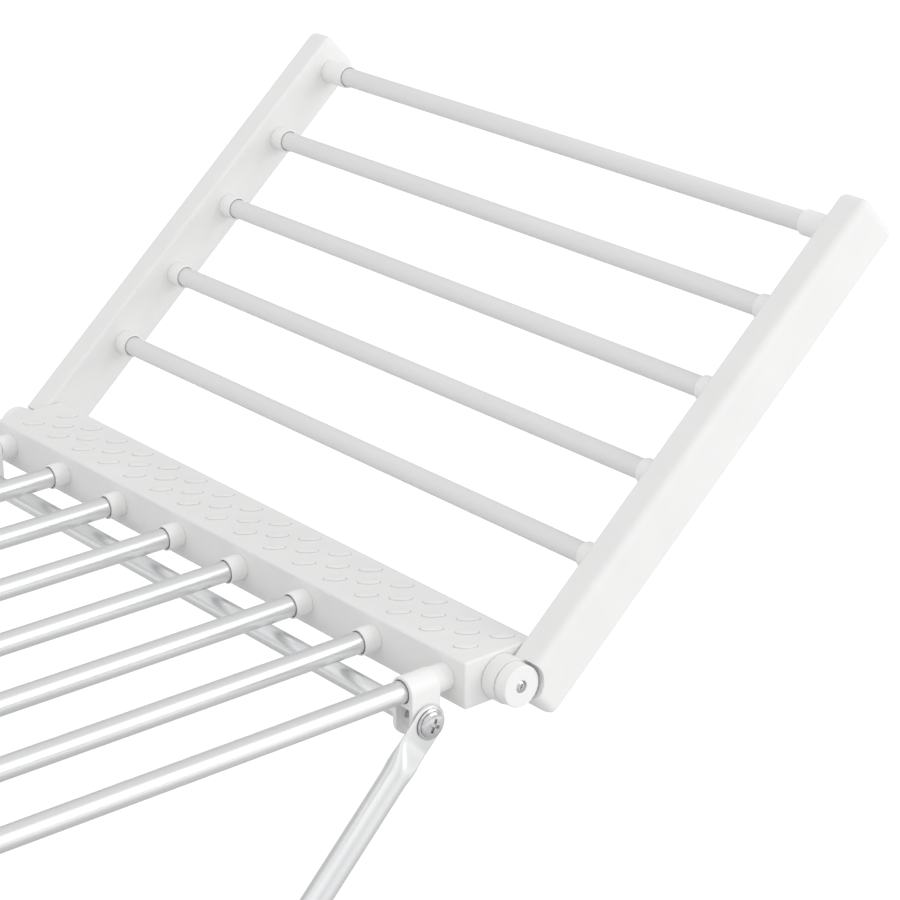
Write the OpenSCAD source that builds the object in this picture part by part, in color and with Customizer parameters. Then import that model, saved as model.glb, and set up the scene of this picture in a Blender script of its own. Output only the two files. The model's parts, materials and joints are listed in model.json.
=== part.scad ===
// Folding winged clothes airer: a deck of rails between two end beams,
// a hinged wing at each end, and a scissor pair of leg frames.
// Origin: on the floor, under the middle of the deck. X runs along the rails.

/* [Deck] */
// Height of the end beams' top face above the floor
deck_height = 850; // [820:1:870]
// Distance between the inner faces of the two end beams
deck_gap = 717; // [715:0.5:719]
// Diameter of a deck rail
rail_d = 13.3; // [12.5:0.1:13.6]
// Distance from one rail's axis to the next
rail_pitch = 66.5; // [66:0.1:67]
// Depth of the rail axes below the beams' top face
rail_drop = 13.6; // [13:0.1:14]

/* [End beams] */
// Length of an end beam, across the rails
beam_len = 500; // [499:0.5:502]
// Width of an end beam, along the rails
beam_w = 51.2; // [50:0.1:54]
// Height of an end beam
beam_h = 29.4; // [29:0.1:31]
// Wall thickness of the mouldings
wall = 2.4; // [2:0.1:2.8]
// Length of the collar round a rail's end
rail_ferrule_len = 11.4; // [10:0.1:11.5]

/* [Wings] */
// Rest angle of the wings above horizontal, in degrees
wing_angle = 41; // [35:1:50]
// Length of a wing arm beyond its hinge axis
arm_len = 353; // [345:1:360]
// Thickness of a wing arm, across the rods' ends
arm_t = 20.5; // [20:0.1:22]
// Depth of a wing arm
arm_depth = 34.1; // [34:0.1:36]
// Diameter of a wing rod
rod_d = 13; // [12.5:0.1:13.2]
// Distance from the hinge axis to the first rod
rod_first = 90.6; // [88:0.1:93]
// Distance from one rod to the next
rod_pitch = 61; // [58:0.1:61]

/* [Hinges] */
// Depth of the wing hinge axis below the beams' top face
hinge_drop = 15.6; // [15.4:0.1:15.8]
// Radius of the hub barrel on an arm's end
hub_r = 13.7; // [13.2:0.1:13.8]
// Radius of the hinge cap
cap_r = 12.6; // [12:0.1:13]

/* [Legs] */
// Lean of the outer leg frame from vertical, in degrees
leg_lean = 44.75; // [44:0.25:46]
// Diameter of a leg tube
leg_d = 16; // [15.6:0.1:16.2]
// Distance from a leg frame's top axis to the crossing bolt
cross_len = 458; // [456:1:460]
// Depth of the inner frame's top bar below the outer frame's pivot
bar_drop = 18.5; // [18:0.1:19]

/* [Hidden] */
$fn = 48;

// Clearances
fit = 0.05;       // radial, round pieces that fit together
gap = 0.3;        // faces of different bodies that aren't a fit
tube_wall = 1;    // wall of every tube
through = 1;      // how far a cutting tool runs past the face it cuts

// Deck
rail_count = 8;
rail_r = rail_d / 2;
rail_z = deck_height - rail_drop;
rail_insert = 15;
rib_t = 2;        // rib inside the beam that the rails' ends stop against
ferrule_r = 8.1;
beam_x = deck_gap / 2;
beam_bottom = deck_height - beam_h;
outer_rail_y = (rail_count - 1) / 2 * rail_pitch;

// Beam cover and its screws
cover_t = 3;
cover_gap = 0.15;
post_r = 4;
cover_screw_r = 1.5;
cover_head_r = 3;
cover_head_h = 1.6;
cover_screw_len = 12;
screw_room = 2;   // free depth past a screw's tip
cover_screw_x = beam_x + beam_w - 12;
cover_screw_ys = [-200, -67, 67, 200];

// Hinge stack, outward from the beam's end
hinge_x = beam_x + beam_w / 2;
hinge_z = deck_height - hinge_drop;
end_y = beam_len / 2;
hub_y = end_y + gap;
hub_len = 9.7;
cap_y = hub_y + hub_len + gap;
cap_t = 8.8;
spigot_r = 6;
hinge_screw_r = 1.95;
hinge_head_r = 3.4;
hinge_head_h = 1.6;
counterbore_r = 3.8;
counterbore_h = 1.9;
hinge_screw_len = 20;
screw_seat_y = cap_y + cap_t - counterbore_h;
spring_ring_r = 10;
spring_hole_r = 7;
spring_t = 0.7;
spring_room = 0.3;

// Wing
arm_y = end_y + 1;
arm_round = 5;
arm_low_round = 1.8;
arm_top = 1.7;
arm_start = -1;
scallop_r = 14.6;
rod_r = rod_d / 2;
rod_n = -18;
rod_count = 5;
rod_insert = 7.8;
rod_end_gap = 0.1;
rod_socket_r = 9;
rod_socket_len = 9;
wing_ferrule_len = 11;
last_ferrule_len = 21.5;
front_ferrule_extra = 7;
pocket_start = 24;
pocket_end = arm_len - wall;
strip_t = 2;
strip_gap = 0.2;

// Leg clip and pivot
pivot_x = beam_x - 22;
pivot_z = deck_height - 32;
clip_len = 20;
clip_r = 9.2;
clip_shift = 0.8;              // the sleeve is thicker on its outer side
clip_bore_r = 7.1;
cheek_t = 3.2;
outer_cheek = clip_r + clip_shift;
inner_cheek = clip_r - clip_shift;
inner_cheek_extra = 3;
web_t = 2.5;
recess_r = 4.2;
recess_depth = 0.5;
axle_r = 6.5;
axle_depth = 2.2;              // how far the axle tube enters the inner cheek
axle_end_y = outer_rail_y - inner_cheek + axle_depth - fit;
plug_len = 14;
plug_short = 1;                // how far a plug stops short of the tube's end
screw_thread_r = 2.9;
shoulder_r = 4;
tab_t = 2.8;
tab_y = outer_rail_y + outer_cheek + gap;
washer_r = 9.3;
washer_t = 1.2;
washer_y = tab_y + tab_t + gap;
head_r = 7.8;
head_h = 2.2;
shoulder_y = outer_rail_y + outer_cheek - cheek_t;
tab_r = 11;
tab_len = 22;
taper_len = 20;

// Scissor legs
leg_r = leg_d / 2;
foot_r = 11;
foot_z = 16;
outer_y = tab_y + tab_t / 2;
inner_y = 221;
outer_len = (pivot_z - foot_z) / cos(leg_lean);
inner_lean = acos(cos(leg_lean) - bar_drop / cross_len);
cross_x = pivot_x - cross_len * sin(leg_lean);
cross_z = pivot_z - cross_len * cos(leg_lean);
bar_x = cross_x - cross_len * sin(inner_lean);
bar_z = cross_z + cross_len * cos(inner_lean);
inner_len = cross_len + (cross_z - foot_z) / cos(inner_lean);
outer_foot_x = pivot_x - outer_len * sin(leg_lean);
inner_foot_x = bar_x + inner_len * sin(inner_lean);
tube_stop = 10;
socket_len = 42;
pad_half = 12;
pad_h = foot_z - 6;
pad_toe = foot_r / 2;
keel_half = foot_r - 2;
bore_short = 2;                // solid length left above a leg tube's bore

// Inner top bar, crossing bolts, catches
bar_r = 6.5;
bar_screw_r = 2.9;
bar_head_r = 6;
bar_head_h = 2.4;
inner_tab_r = 10;
bolt_r = 3;
bolt_head_r = 6.5;
bolt_head_h = 3;
nut_r = 5.8;
nut_h = 3.4;
spacer_r = 9;
catch_y = outer_rail_y - rail_pitch;
catch_w = 16;
catch_bar_gap = 0.7;
catch_above = 9;
catch_inboard = 14;
catch_r = 10;
catch_len = 24;

plastic = [0.93, 0.93, 0.92];
aluminium = [0.78, 0.79, 0.80];
satin_tube = [0.84, 0.84, 0.84];
steel = [0.62, 0.63, 0.65];

// ---- helpers ----

// Cylinder along +Y that starts at the origin
module y_cyl(r, h) rotate([-90, 0, 0]) cylinder(r = r, h = h);

// Cylinder along X, centred on the origin
module x_cyl(r, h) rotate([0, 90, 0]) cylinder(r = r, h = h, center = true);

// The same piece at the front (-Y) and at the rear (+Y)
module front_and_rear() {
  children();
  mirror([0, 1, 0]) children();
}

// A piece drawn for the right end (+X), moved to the left end when asked
module at_end(right) {
  if (right) children();
  else mirror([1, 0, 0]) children();
}

// A piece drawn for the rear (+Y), moved to the front when asked
module at_side(rear) {
  if (rear) children();
  else mirror([0, 1, 0]) children();
}

// The wing's own frame: X along the arm from the hinge axis, Z square to it
module wing_frame(right)
  at_end(right) translate([hinge_x, 0, hinge_z]) rotate([0, -wing_angle, 0]) children();

// Rectangle with rounded corners, centred, drawn only with arcs and straight lines
module rounded_rect(w, h, r) {
  square([w - 2 * r, h], center = true);
  square([w, h - 2 * r], center = true);
  for (sx = [-1, 1])
    for (sy = [-1, 1])
      translate([sx * (w / 2 - r), sy * (h / 2 - r)]) circle(r = r);
}

// Straight hollow tube along Y, centred
module y_tube(r, length)
  translate([0, -length / 2, 0])
    difference() {
      y_cyl(r, length);
      translate([0, -through, 0]) y_cyl(r - tube_wall, length + 2 * through);
    }

// ---- deck ----

// Moulded beam, open below, with a hinge spigot on each end
module end_beam(right) color(plastic) at_end(right) {
  difference() {
    union() {
      translate([beam_x, -beam_len / 2, beam_bottom]) cube([beam_w, beam_len, beam_h]);
      front_and_rear()
        translate([hinge_x, end_y - through, hinge_z]) y_cyl(spigot_r, cap_y - end_y + through);
    }
    translate([beam_x + wall, wall - beam_len / 2, beam_bottom - through])
      cube([beam_w - 2 * wall, beam_len - 2 * wall, beam_h - wall + through]);
    for (i = [0 : rail_count - 1])
      translate([beam_x, i * rail_pitch - outer_rail_y, rail_z]) x_cyl(rail_r + fit, 3 * wall);
    front_and_rear()
      translate([hinge_x, screw_seat_y - hinge_screw_len - screw_room, hinge_z])
        y_cyl(hinge_screw_r + fit, hinge_screw_len + screw_room);
  }
  translate([beam_x + rail_insert, wall - beam_len / 2, beam_bottom + cover_t + cover_gap])
    cube([rib_t, beam_len - 2 * wall, beam_h - wall - cover_t - cover_gap]);
  for (y = cover_screw_ys)
    difference() {
      translate([cover_screw_x, y, beam_bottom + cover_t + cover_gap])
        cylinder(r = post_r, h = beam_h - wall - cover_t - cover_gap);
      translate([cover_screw_x, y, beam_bottom])
        cylinder(r = cover_screw_r + fit, h = cover_screw_len + screw_room);
    }
}

// Plate that closes the beam from below
module beam_cover(right) color(plastic) at_end(right)
  difference() {
    translate([beam_x + wall + cover_gap, wall + cover_gap - beam_len / 2, beam_bottom])
      cube([beam_w - 2 * (wall + cover_gap), beam_len - 2 * (wall + cover_gap), cover_t]);
    for (y = cover_screw_ys)
      translate([cover_screw_x, y, beam_bottom - through]) {
        cylinder(r = cover_screw_r + fit, h = cover_t + 2 * through);
        cylinder(r = cover_head_r + fit, h = cover_head_h + through);
      }
  }

module beam_cover_screws() color(steel)
  for (right = [true, false])
    at_end(right)
      for (y = cover_screw_ys)
        translate([cover_screw_x, y, beam_bottom]) {
          cylinder(r = cover_head_r, h = cover_head_h);
          cylinder(r = cover_screw_r, h = cover_screw_len);
        }

module deck_rail(index) color(aluminium)
  translate([0, (index - 1) * rail_pitch - outer_rail_y, rail_z])
    difference() {
      x_cyl(rail_r, deck_gap + 2 * (rail_insert - fit));
      x_cyl(rail_r - tube_wall, deck_gap + 2 * rail_insert + 2 * through);
    }

// Collars that sleeve the rails where they enter the beam
module rail_ferrules(right) color(plastic) at_end(right)
  for (i = [0 : rail_count - 1])
    translate([beam_x - rail_ferrule_len / 2, i * rail_pitch - outer_rail_y, rail_z])
      difference() {
        x_cyl(ferrule_r, rail_ferrule_len);
        x_cyl(rail_r + fit, rail_ferrule_len + 2 * through);
      }

// Sleeve round the outermost rail with two cheeks that hang to the leg pivot
module leg_clip(rear) color(plastic) at_side(rear)
  translate([pivot_x, outer_rail_y, 0])
    difference() {
      union() {
        translate([0, clip_shift, rail_z]) x_cyl(clip_r, clip_len);
        translate([-clip_len / 2, outer_cheek - cheek_t, pivot_z])
          cube([clip_len, cheek_t, rail_z - pivot_z]);
        translate([0, outer_cheek - cheek_t, pivot_z]) y_cyl(clip_len / 2, cheek_t);
        translate([-clip_len / 2, -inner_cheek, pivot_z - inner_cheek_extra])
          cube([clip_len, cheek_t, rail_z - pivot_z + inner_cheek_extra]);
        translate([0, -inner_cheek, pivot_z - inner_cheek_extra]) y_cyl(clip_len / 2, cheek_t);
        translate([-clip_len / 2, -inner_cheek, rail_z - clip_r]) cube([clip_len, 2 * clip_r, web_t]);
      }
      translate([0, 0, rail_z]) x_cyl(clip_bore_r, clip_len + 2 * through);
      translate([0, 0, pivot_z]) y_cyl(shoulder_r + fit, outer_cheek + through);
      translate([0, -inner_cheek - through, pivot_z]) y_cyl(axle_r + fit, axle_depth + through);
      translate([0, -inner_cheek, pivot_z]) y_cyl(screw_thread_r + fit, cheek_t + through);
      translate([0, cheek_t - inner_cheek - recess_depth, pivot_z - inner_cheek_extra])
        y_cyl(recess_r, cheek_t);
    }

// Tube on the pivot axis that ties the two clips together
module pivot_axle_tube() color(aluminium)
  translate([pivot_x, 0, pivot_z]) y_tube(axle_r, 2 * axle_end_y);

module axle_plugs() color(plastic)
  front_and_rear()
    translate([pivot_x, axle_end_y - plug_len, pivot_z])
      difference() {
        y_cyl(axle_r - tube_wall - fit, plug_len - plug_short);
        translate([0, -through, 0]) y_cyl(screw_thread_r + fit, plug_len + 2 * through);
      }

// Shoulder screw: domed head, plain shoulder through tab and cheek, thread in the plug
module pivot_screws() color(steel)
  front_and_rear()
    translate([pivot_x, 0, pivot_z]) {
      translate([0, washer_y + washer_t, 0])
        intersection() {
          y_cyl(head_r, head_h);
          translate([0, head_h - 2 * head_r, 0]) sphere(r = 2 * head_r, $fn = 64);
        }
      translate([0, shoulder_y, 0]) y_cyl(shoulder_r, washer_y + washer_t - shoulder_y);
      translate([0, axle_end_y - plug_len, 0]) y_cyl(screw_thread_r, shoulder_y - axle_end_y + plug_len);
    }

module pivot_washers() color(steel)
  front_and_rear()
    translate([pivot_x, washer_y, pivot_z])
      difference() {
        y_cyl(washer_r, washer_t);
        translate([0, -through, 0]) y_cyl(shoulder_r + fit, washer_t + 2 * through);
      }

// Hooked saddle on a rail that the inner leg frame's top bar rests in
module leg_catch(rear) color(plastic) at_side(rear)
  translate([0, catch_y, 0])
    difference() {
      union() {
        translate([bar_x, 0, rail_z]) x_cyl(catch_r, catch_len);
        translate([bar_x - catch_above, -catch_w / 2, bar_z - bar_r])
          cube([catch_above + catch_inboard, catch_w, rail_z - bar_z + bar_r]);
      }
      translate([bar_x, 0, rail_z]) x_cyl(rail_r + fit, 2 * catch_len);
      translate([bar_x, -catch_w / 2 - through, bar_z])
        y_cyl(bar_r + catch_bar_gap, catch_w + 2 * through);
      translate([bar_x - catch_above - through, -catch_w / 2 - through, bar_z - bar_r - through])
        cube([catch_above + through, catch_w + 2 * through, 2 * bar_r + through + catch_bar_gap]);
      translate([bar_x - through, -catch_w / 2 - through, bar_z - bar_r - through])
        cube([bar_r + catch_bar_gap + through, catch_w + 2 * through, bar_r + through]);
    }

// ---- hinges ----

// Drum that closes the hinge: the arm's hub turns behind it on the beam's spigot
module hinge_caps(right) color(plastic) at_end(right)
  front_and_rear()
    translate([hinge_x, cap_y, hinge_z])
      difference() {
        y_cyl(cap_r, cap_t);
        translate([0, -through, 0]) y_cyl(hinge_screw_r + fit, cap_t + 2 * through);
        translate([0, cap_t - counterbore_h, 0]) y_cyl(counterbore_r, counterbore_h + through);
        translate([0, -through, 0])
          difference() {
            y_cyl(spring_ring_r + spring_room, spring_t + through);
            y_cyl(spring_hole_r - spring_room, spring_t + through);
          }
      }

module hinge_screws() color(steel)
  for (right = [true, false])
    at_end(right)
      front_and_rear()
        translate([hinge_x, screw_seat_y, hinge_z]) {
          y_cyl(hinge_head_r, hinge_head_h);
          translate([0, -hinge_screw_len, 0]) y_cyl(hinge_screw_r, hinge_screw_len);
        }

// Spring washers, in the caps' ring grooves, that press the arms' hubs
module hinge_spring_washers() color(steel)
  for (right = [true, false])
    at_end(right)
      front_and_rear()
        translate([hinge_x, cap_y, hinge_z])
          difference() {
            y_cyl(spring_ring_r, spring_t);
            translate([0, -through, 0]) y_cyl(spring_hole_r, spring_t + 2 * through);
          }

// ---- wings ----

// Soft-edged arm with a hub barrel on its inner side and a scallop round the hinge cap
// The arm's section, its lower edges (towards +X) less rounded than the upper ones
module arm_section() {
  rounded_rect(arm_depth, arm_t, arm_round);
  translate([arm_depth / 4, 0]) rounded_rect(arm_depth / 2, arm_t, arm_low_round);
}

module wing_arm(right, rear) color(plastic) wing_frame(right) at_side(rear) {
  difference() {
    union() {
      difference() {
        translate([arm_start, arm_y + arm_t / 2, arm_top - arm_depth / 2])
          rotate([0, 90, 0])
            linear_extrude(arm_len - arm_start) arm_section();
        translate([0, hub_y + hub_len, 0]) y_cyl(scallop_r, arm_t);
      }
      translate([0, hub_y, 0]) y_cyl(hub_r, hub_len);
    }
    translate([0, hub_y - through, 0]) y_cyl(spigot_r + fit, hub_len + 2 * through);
    difference() {
      translate([pocket_start, arm_y + wall, arm_top - arm_depth - through])
        cube([pocket_end - pocket_start, arm_t - 2 * wall, arm_depth - wall + through]);
      for (j = [0 : rod_count - 1])
        translate([rod_first + j * rod_pitch, arm_y, rod_n]) y_cyl(rod_socket_r, rod_socket_len);
    }
    for (j = [0 : rod_count - 1])
      translate([rod_first + j * rod_pitch, arm_y - through, rod_n])
        y_cyl(rod_r + fit, rod_insert + rod_end_gap + through);
  }
}

// Strips that close the arms from below
module arm_covers(right) color(plastic) wing_frame(right)
  front_and_rear()
    translate([pocket_start + strip_gap, arm_y + wall + strip_gap, arm_top - arm_depth])
      cube([pocket_end - pocket_start - 2 * strip_gap, arm_t - 2 * (wall + strip_gap), strip_t]);

module wing_rod(right, index) color(satin_tube) wing_frame(right)
  translate([rod_first + (index - 1) * rod_pitch, 0, rod_n]) y_tube(rod_r, 2 * (arm_y + rod_insert));

// Collars where the rods meet the arms; the front ones and the outermost rod's are longer
module wing_ferrules(right) color(plastic) wing_frame(right)
  for (rear = [false, true])
    at_side(rear)
      for (j = [0 : rod_count - 1]) {
        own_len = j == rod_count - 1 ? last_ferrule_len : wing_ferrule_len;
        length = own_len + (rear ? 0 : front_ferrule_extra);
        translate([rod_first + j * rod_pitch, arm_y - length, rod_n])
          difference() {
            y_cyl(ferrule_r, length);
            translate([0, -through, 0]) y_cyl(rod_r + fit, length + 2 * through);
          }
      }

// ---- legs ----

// One leg tube in its own frame: top axis at the origin, tube running down -Z, flattened round top end
module leg_tube(length, end_r, hole_r, bolt_at) {
  difference() {
    union() {
      translate([0, -tab_t / 2, 0]) y_cyl(end_r, tab_t);
      translate([-end_r, -tab_t / 2, -tab_len]) cube([2 * end_r, tab_t, tab_len]);
      hull() {
        translate([-end_r, -tab_t / 2, -tab_len]) cube([2 * end_r, tab_t, 1]);
        translate([0, 0, -tab_len - taper_len]) cylinder(r = leg_r, h = 1, $fn = 32);
      }
      translate([0, 0, -length + tube_stop])
        cylinder(r = leg_r, h = length - tube_stop - tab_len - taper_len);
    }
    translate([0, -tab_t, 0]) y_cyl(hole_r, 2 * tab_t);
    translate([0, 0, -length])
      cylinder(r = leg_r - tube_wall, h = length - tab_len - taper_len - bore_short);
    translate([0, -leg_r - through, -bolt_at]) y_cyl(bolt_r + fit, leg_d + 2 * through);
  }
}

// Moulded foot at a frame's corner: a socket for the leg tube, one for the foot bar, and a floor pad
module corner_foot(lean) {
  difference() {
    union() {
      rotate([0, lean, 0]) cylinder(r = foot_r, h = socket_len);
      translate([0, -socket_len, 0]) y_cyl(foot_r, socket_len);
      sphere(r = foot_r);
      translate([-pad_half, -socket_len, -foot_z]) cube([2 * pad_half, socket_len + pad_toe, pad_h]);
      translate([-keel_half, -socket_len, -foot_z]) cube([2 * keel_half, socket_len, foot_z]);
    }
    rotate([0, lean, 0]) translate([0, 0, tube_stop]) cylinder(r = leg_r + fit, h = socket_len);
    translate([0, -socket_len - through, 0]) y_cyl(leg_r + fit, socket_len + through - tube_stop);
  }
}

module outer_leg_tubes() color(aluminium)
  front_and_rear()
    translate([pivot_x, outer_y, pivot_z]) rotate([0, leg_lean, 0])
      leg_tube(outer_len, tab_r, shoulder_r + fit, cross_len);

module outer_foot_bar() color(aluminium)
  translate([outer_foot_x, 0, foot_z]) y_tube(leg_r, 2 * (outer_y - tube_stop - fit));

module outer_corner_feet() color(plastic)
  front_and_rear() translate([outer_foot_x, outer_y, foot_z]) corner_foot(leg_lean);

module inner_leg_tubes() color(aluminium)
  front_and_rear()
    translate([bar_x, inner_y, bar_z]) rotate([0, -inner_lean, 0])
      leg_tube(inner_len, inner_tab_r, bar_screw_r + fit, cross_len);

module inner_foot_bar() color(aluminium)
  translate([inner_foot_x, 0, foot_z]) y_tube(leg_r, 2 * (inner_y - tube_stop - fit));

module inner_corner_feet() color(plastic)
  front_and_rear() translate([inner_foot_x, inner_y, foot_z]) corner_foot(-inner_lean);

// Bar across the inner frame's top that rests in the catches
module inner_top_bar() color(aluminium)
  translate([bar_x, 0, bar_z]) y_tube(bar_r, 2 * (inner_y - tab_t / 2 - fit));

module top_bar_plugs() color(plastic)
  front_and_rear()
    translate([bar_x, inner_y - tab_t / 2 - fit - plug_len, bar_z])
      difference() {
        y_cyl(bar_r - tube_wall - fit, plug_len);
        translate([0, -through, 0]) y_cyl(bar_screw_r + fit, plug_len + 2 * through);
      }

module top_bar_screws() color(steel)
  front_and_rear()
    translate([bar_x, inner_y + tab_t / 2, bar_z]) {
      y_cyl(bar_head_r, bar_head_h);
      translate([0, -plug_len, 0]) y_cyl(bar_screw_r, plug_len);
    }

// Bolt that joins the two frames where they cross
module crossing_bolts() color(steel)
  front_and_rear()
    translate([cross_x, 0, cross_z]) {
      translate([0, outer_y + leg_r, 0]) y_cyl(bolt_head_r, bolt_head_h);
      translate([0, inner_y - leg_r - nut_h - gap, 0])
        y_cyl(bolt_r, outer_y - inner_y + leg_d + nut_h + gap);
    }

module crossing_spacers() color(plastic)
  front_and_rear()
    translate([cross_x, inner_y + leg_r + gap, cross_z])
      difference() {
        y_cyl(spacer_r, outer_y - inner_y - leg_d - gap);
        translate([0, -through, 0]) y_cyl(bolt_r + fit, outer_y - inner_y);
      }

module crossing_nuts() color(steel)
  front_and_rear()
    translate([cross_x, inner_y - leg_r - nut_h - gap, cross_z])
      difference() {
        rotate([-90, 0, 0]) cylinder(r = nut_r, h = nut_h, $fn = 6);
        translate([0, -through, 0]) y_cyl(bolt_r + fit, nut_h + 2 * through);
      }

end_beam(true);  // end_beam_right
end_beam(false);  // end_beam_left
beam_cover(true);  // beam_cover_right
beam_cover(false);  // beam_cover_left
beam_cover_screws();
deck_rail(1);  // deck_rail_1
deck_rail(2);  // deck_rail_2
deck_rail(3);  // deck_rail_3
deck_rail(4);  // deck_rail_4
deck_rail(5);  // deck_rail_5
deck_rail(6);  // deck_rail_6
deck_rail(7);  // deck_rail_7
deck_rail(8);  // deck_rail_8
rail_ferrules(true);  // rail_ferrules_right
rail_ferrules(false);  // rail_ferrules_left
leg_clip(false);  // leg_clip_front
leg_clip(true);  // leg_clip_rear
leg_catch(false);  // leg_catch_front
leg_catch(true);  // leg_catch_rear
pivot_axle_tube();
axle_plugs();
pivot_screws();
pivot_washers();
hinge_caps(true);  // hinge_caps_right
hinge_caps(false);  // hinge_caps_left
hinge_screws();
hinge_spring_washers();
wing_arm(true, false);  // wing_arm_right_front
wing_arm(true, true);  // wing_arm_right_rear
arm_covers(true);  // arm_covers_right
wing_ferrules(true);  // wing_ferrules_right
wing_rod(true, 1);  // wing_rod_right_1
wing_rod(true, 2);  // wing_rod_right_2
wing_rod(true, 3);  // wing_rod_right_3
wing_rod(true, 4);  // wing_rod_right_4
wing_rod(true, 5);  // wing_rod_right_5
wing_arm(false, false);  // wing_arm_left_front
wing_arm(false, true);  // wing_arm_left_rear
arm_covers(false);  // arm_covers_left
wing_ferrules(false);  // wing_ferrules_left
wing_rod(false, 1);  // wing_rod_left_1
wing_rod(false, 2);  // wing_rod_left_2
wing_rod(false, 3);  // wing_rod_left_3
wing_rod(false, 4);  // wing_rod_left_4
wing_rod(false, 5);  // wing_rod_left_5
outer_leg_tubes();
outer_foot_bar();
outer_corner_feet();
crossing_bolts();
crossing_spacers();
crossing_nuts();
inner_leg_tubes();
inner_foot_bar();
inner_corner_feet();
inner_top_bar();
top_bar_plugs();
top_bar_screws();
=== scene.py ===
"""Folding winged clothes airer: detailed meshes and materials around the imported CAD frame.

Lengths in this script are metres, in the row frame: +X along the rails, +Y across them, +Z up.
Sizes of small features are written as a number of millimetres times MM.
"""

import json
import math

import bmesh
import bpy
from mathutils import Matrix, Vector


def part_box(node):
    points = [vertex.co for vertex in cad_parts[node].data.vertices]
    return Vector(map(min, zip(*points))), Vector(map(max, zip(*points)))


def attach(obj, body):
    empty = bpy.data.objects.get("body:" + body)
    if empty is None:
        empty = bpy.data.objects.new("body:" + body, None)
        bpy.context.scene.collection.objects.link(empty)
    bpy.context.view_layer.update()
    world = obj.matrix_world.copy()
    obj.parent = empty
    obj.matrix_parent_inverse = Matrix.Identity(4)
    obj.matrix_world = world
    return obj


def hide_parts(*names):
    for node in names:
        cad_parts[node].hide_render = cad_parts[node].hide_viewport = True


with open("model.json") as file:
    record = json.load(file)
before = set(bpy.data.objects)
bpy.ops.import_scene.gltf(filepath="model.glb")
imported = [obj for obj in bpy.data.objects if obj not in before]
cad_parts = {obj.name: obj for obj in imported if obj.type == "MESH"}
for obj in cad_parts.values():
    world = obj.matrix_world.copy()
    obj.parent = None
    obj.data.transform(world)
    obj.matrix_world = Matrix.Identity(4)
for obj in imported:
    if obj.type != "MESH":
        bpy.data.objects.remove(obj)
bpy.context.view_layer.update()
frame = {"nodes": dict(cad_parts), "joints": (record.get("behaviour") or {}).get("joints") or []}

MM = 0.001
OVERLAP = 1 * MM       # how far a cut starts outside a part, or one joined part runs into another
AROUND = 48            # segments round a tube
FINE = 64              # segments round a large round part
ARC_STEPS = 5          # segments in a rounded edge
HALF_EDGE = 0.49       # the most of an edge that one corner's rounding may take
LATHE_CRISP = 32       # an edge sharper than this many degrees stays crisp
CRISP = 30             # the same, for mouldings and hinge screws
LEG_CRISP = 40         # and for leg tubes

# ---------------------------------------------------------------- places, from the frame

JOINTS = {j["name"]: j for j in frame["joints"]}


def joint_point(name):
    return Vector(JOINTS[name]["pos_m"])


def corners_of(node):
    """Low and high corner of the box round a CAD node."""
    lo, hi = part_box(node)
    return Vector(lo), Vector(hi)


def middle(node):
    lo, hi = corners_of(node)
    return (lo + hi) / 2


def extent(node):
    lo, hi = corners_of(node)
    return hi - lo


def far_y(node):
    """How far the node reaches towards the rear. Nodes of front and rear pairs reach as far forwards."""
    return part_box(node)[1][1]


HINGE = joint_point("wing_right_hinge")
PIVOT = joint_point("outer_leg_hinge")
CROSSING = joint_point("leg_crossing_hinge")
COVER_LO, COVER_HI = corners_of("beam_cover_right")
BEAM_LO, BEAM_HI = corners_of("end_beam_right")
CAP_HI_Y = far_y("hinge_caps_right")
ARM_LO, ARM_HI = corners_of("wing_arm_right_rear")

RAIL_COUNT = 8
ROD_COUNT = 5                                 # on each wing
RAILS = [f"deck_rail_{i}" for i in range(1, RAIL_COUNT + 1)]
RAIL_R = extent(RAILS[0]).z / 2
RAIL_Z = middle(RAILS[0]).z
RAIL_YS = [middle(r).y for r in RAILS]

WALL = COVER_LO.x - BEAM_LO.x                 # beam wall, with the cover's small gap
BEAM_END = COVER_HI.y + WALL                  # half the beam's length
BEAM_TOP = BEAM_HI.z
SPIGOT_LEN = BEAM_HI.y - BEAM_END

ROD_SET = [middle(f"wing_rod_right_{i}") for i in range(1, ROD_COUNT + 1)]
ROD_R = extent("wing_rod_right_1").z / 2
WING_ANGLE = math.atan2(ROD_SET[-1].z - ROD_SET[0].z, ROD_SET[-1].x - ROD_SET[0].x)
ALONG = Vector((math.cos(WING_ANGLE), 0, math.sin(WING_ANGLE)))
SQUARE = Vector((-math.sin(WING_ANGLE), 0, math.cos(WING_ANGLE)))
ROD_Q = [(p - HINGE).dot(ALONG) for p in ROD_SET]        # rods along the arm, from the hinge
ROD_N = (ROD_SET[0] - HINGE).dot(SQUARE)                 # and square to it
ARM_Y0, ARM_Y1 = ARM_LO.y, ARM_HI.y

# ---------------------------------------------------------------- mesh helpers


def new_object(name, data):
    obj = bpy.data.objects.new(name, data)
    bpy.context.scene.collection.objects.link(obj)
    return obj


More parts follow.
